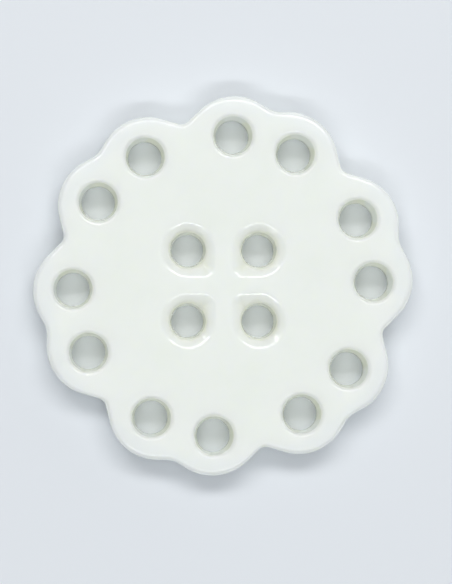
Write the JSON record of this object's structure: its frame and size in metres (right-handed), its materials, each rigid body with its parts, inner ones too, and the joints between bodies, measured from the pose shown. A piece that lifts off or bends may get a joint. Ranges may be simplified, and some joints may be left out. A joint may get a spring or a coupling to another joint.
{
  "type": "sewing button",
  "caption": "Flat round sewing button with a scalloped rim, a ring of decorative through holes and a square of sewing holes in teardrop recesses.",
  "frame": {"origin": "centre of the flat back face", "axes": "+Z out of the decorated face; X and Y along the sides of the square of sewing holes"},
  "size_m": [0.0286, 0.0286, 0.0028],
  "materials": {
    "button_body": "glossy off-white moulded plastic"
  },
  "bodies": {
    "root": {"button_body": "button_body"}
  },
  "joints": []
}
